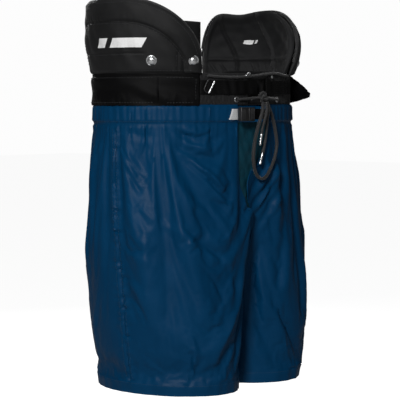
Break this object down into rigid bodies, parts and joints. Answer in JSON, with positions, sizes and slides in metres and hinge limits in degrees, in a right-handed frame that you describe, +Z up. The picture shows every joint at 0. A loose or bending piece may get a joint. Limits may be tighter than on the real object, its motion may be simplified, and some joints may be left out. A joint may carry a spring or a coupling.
{
  "type": "hockey pants",
  "caption": "Waist-held sports pants: padded waist section with fold-out kidney pads, laced front, buckled nylon shell and two padded legs.",
  "frame": {"origin": "centre of the waist opening, half way up the waistband", "axes": "+Z up out of the waist, -Y the wearer's front, +X the wearer's left"},
  "size_m": [0.3905, 0.2795, 0.5874],
  "materials": {
    "padded_black": "matte woven polyester over foam",
    "black_mesh": "matte knitted mesh",
    "webbing": "ribbed woven webbing",
    "pale_webbing": "ribbed woven webbing",
    "metal": "bright nickel plate with light scuffs",
    "lace": "round braided cord",
    "black_plastic": "moulded acetal, satin",
    "pad_plate": "moulded polyethylene",
    "foam": "cloth-faced closed-cell foam",
    "fly_nylon": "smooth nylon",
    "shell_nylon": "smooth woven nylon with a soft sheen"
  },
  "bodies": {
    "waist": {"waistband_right": "padded_black", "waistband_left": "padded_black", "side_band_right": "padded_black", "side_band_left": "padded_black", "fly_tongue": "padded_black", "fly_panel_right": "black_mesh", "fly_panel_left": "black_mesh", "belt_webbing_right": "webbing", "belt_webbing_left": "webbing", "belt_tab": "webbing", "shell_strap_left": "webbing", "shell_strap_right": "pale_webbing", "belt_slider_bar": "metal", "aglet_long": "metal", "aglet_short": "metal", "lace_top_run": "lace", "lace_run_right": "lace", "lace_run_left": "lace", "lace_knot": "lace", "lace_loop": "lace", "lace_end_long": "lace", "lace_end_short": "lace", "buckle_female": "black_plastic", "hip_pad_right": "foam", "hip_pad_left": "foam", "tailbone_pad": "foam", "fly_gusset": "fly_nylon", "shell_tunnel_right": "shell_nylon", "shell_tunnel_left": "shell_nylon", "shell_seat_front_right": "shell_nylon", "shell_seat_front_left": "shell_nylon", "shell_seat_back_right": "shell_nylon", "shell_seat_back_left": "shell_nylon", "crotch_gusset": "shell_nylon"},
    "right_leg": {"thigh_plate_right": "pad_plate", "thigh_pad_right": "foam", "leg_front_right": "shell_nylon", "leg_back_right": "shell_nylon", "leg_inner_right": "shell_nylon", "leg_hem_right": "shell_nylon"},
    "left_leg": {"thigh_plate_left": "pad_plate", "thigh_pad_left": "foam", "leg_front_left": "shell_nylon", "leg_back_left": "shell_nylon", "leg_inner_left": "shell_nylon", "leg_hem_left": "shell_nylon"},
    "right_kidney_pad": {"kidney_cover_right": "padded_black", "kidney_liner_right": "black_mesh", "snap_cap_front_right": "metal", "snap_cap_rear_right": "metal", "kidney_plate_right": "pad_plate"},
    "left_kidney_pad": {"kidney_cover_left": "padded_black", "kidney_liner_left": "black_mesh", "snap_cap_front_left": "metal", "snap_cap_rear_left": "metal", "kidney_plate_left": "pad_plate"},
    "spine_pad_body": {"spine_pad": "padded_black"},
    "right_front_flap": {"front_flap_right": "padded_black"},
    "left_front_flap": {"front_flap_left": "padded_black"},
    "buckle_half": {"buckle_male": "black_plastic"}
  },
  "joints": [
    {"name": "right_hip", "type": "hinge", "parent": "waist", "child": "right_leg", "pos_m": [0, -0.006, -0.09], "axis": [-1, 0, 0], "range_deg": [-12, 45]},
    {"name": "left_hip", "type": "hinge", "parent": "waist", "child": "left_leg", "pos_m": [0, -0.006, -0.09], "axis": [-1, 0, 0], "range_deg": [-12, 45]},
    {"name": "right_kidney_fold", "type": "hinge", "parent": "waist", "child": "right_kidney_pad", "pos_m": [-0.1875, 0, 0.0242], "axis": [0, -1, 0], "range_deg": [0, 30], "stiffness_Nm_per_rad": 0.8},
    {"name": "left_kidney_fold", "type": "hinge", "parent": "waist", "child": "left_kidney_pad", "pos_m": [0.1875, 0, 0.0242], "axis": [0, 1, 0], "range_deg": [0, 30], "stiffness_Nm_per_rad": 0.8},
    {"name": "spine_fold", "type": "hinge", "parent": "waist", "child": "spine_pad_body", "pos_m": [0, 0.1325, 0.0242], "axis": [-1, 0, 0], "range_deg": [0, 25], "stiffness_Nm_per_rad": 0.8},
    {"name": "right_flap_lift", "type": "hinge", "parent": "waist", "child": "right_front_flap", "pos_m": [-0.1608, -0.0659, 0], "axis": [0, 0, -1], "range_deg": [0, 60], "stiffness_Nm_per_rad": 0.02},
    {"name": "left_flap_lift", "type": "hinge", "parent": "waist", "child": "left_front_flap", "pos_m": [0.1576, -0.0665, 0], "axis": [0, 0, 1], "range_deg": [-20, 25], "stiffness_Nm_per_rad": 0.02},
    {"name": "buckle_release", "type": "slide", "parent": "waist", "child": "buckle_half", "axis": [1, 0, 0], "range_m": [0, 0.012]}
  ]
}
